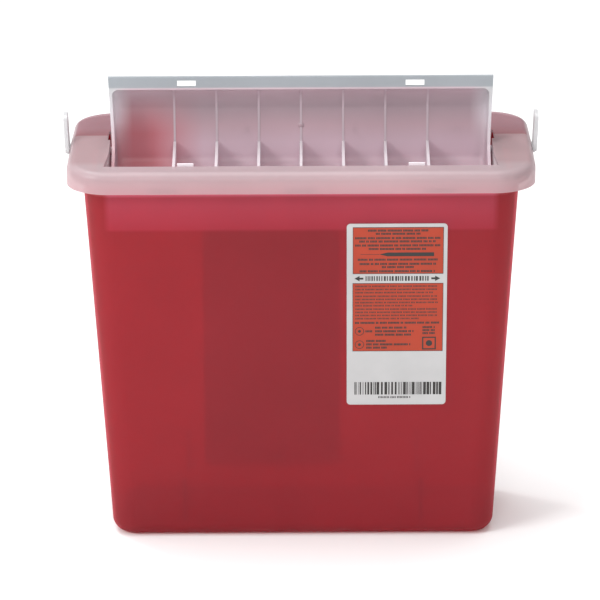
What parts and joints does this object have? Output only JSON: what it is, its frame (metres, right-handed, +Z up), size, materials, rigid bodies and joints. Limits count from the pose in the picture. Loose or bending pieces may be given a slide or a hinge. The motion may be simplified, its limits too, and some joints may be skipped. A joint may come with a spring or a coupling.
{
  "type": "sharps container",
  "caption": "Tapered translucent bin with a press-on frosted lid and a counterbalanced scoop door that tips forward to drop sharps inside.",
  "frame": {"origin": "middle of the base, on the surface it stands on", "axes": "+X along the width to the right seen from the front, +Y from front to back, +Z up"},
  "size_m": [0.2802, 0.123, 0.2794],
  "materials": {
    "bin_plastic": "translucent red polypropylene, softly glossy",
    "lid_plastic": "frosted natural polypropylene",
    "door_plastic": "frosted natural polypropylene, thinner than the lid",
    "label_paper": "coated label stock, printed"
  },
  "bodies": {
    "bin": {"bin_shell": "bin_plastic", "nesting_ribs": "bin_plastic", "front_label": "label_paper", "rear_label": "label_paper"},
    "lid": {"lid_frame": "lid_plastic", "lid_well": "lid_plastic", "pivot_bearings": "lid_plastic", "lock_tongues": "lid_plastic", "snap_lugs": "lid_plastic", "left_tab_web": "lid_plastic", "right_tab_web": "lid_plastic"},
    "door": {"door_scoop": "door_plastic", "door_fins": "door_plastic", "door_ribs": "door_plastic", "door_pins": "door_plastic", "door_stops": "door_plastic"},
    "left_tab": {"left_tab": "lid_plastic"},
    "right_tab": {"right_tab": "lid_plastic"}
  },
  "joints": [
    {"name": "lid_lift", "type": "slide", "parent": "bin", "child": "lid", "axis": [0, 0, 1], "range_m": [0, 0.12], "deforming": ["snap_lugs"]},
    {"name": "door_tip", "type": "hinge", "parent": "lid", "child": "door", "pos_m": [0, -0.0065, 0.2335], "axis": [1, 0, 0], "range_deg": [0, 82]},
    {"name": "left_tab_flex", "type": "hinge", "parent": "lid", "child": "left_tab", "pos_m": [-0.1368, 0, 0.2328], "axis": [0, -1, 0], "range_deg": [-8, 10], "stiffness_Nm_per_rad": 0.02, "deforming": ["left_tab_web"]},
    {"name": "right_tab_flex", "type": "hinge", "parent": "lid", "child": "right_tab", "pos_m": [0.1368, 0, 0.2328], "axis": [0, 1, 0], "range_deg": [-8, 10], "stiffness_Nm_per_rad": 0.02, "deforming": ["right_tab_web"]}
  ]
}
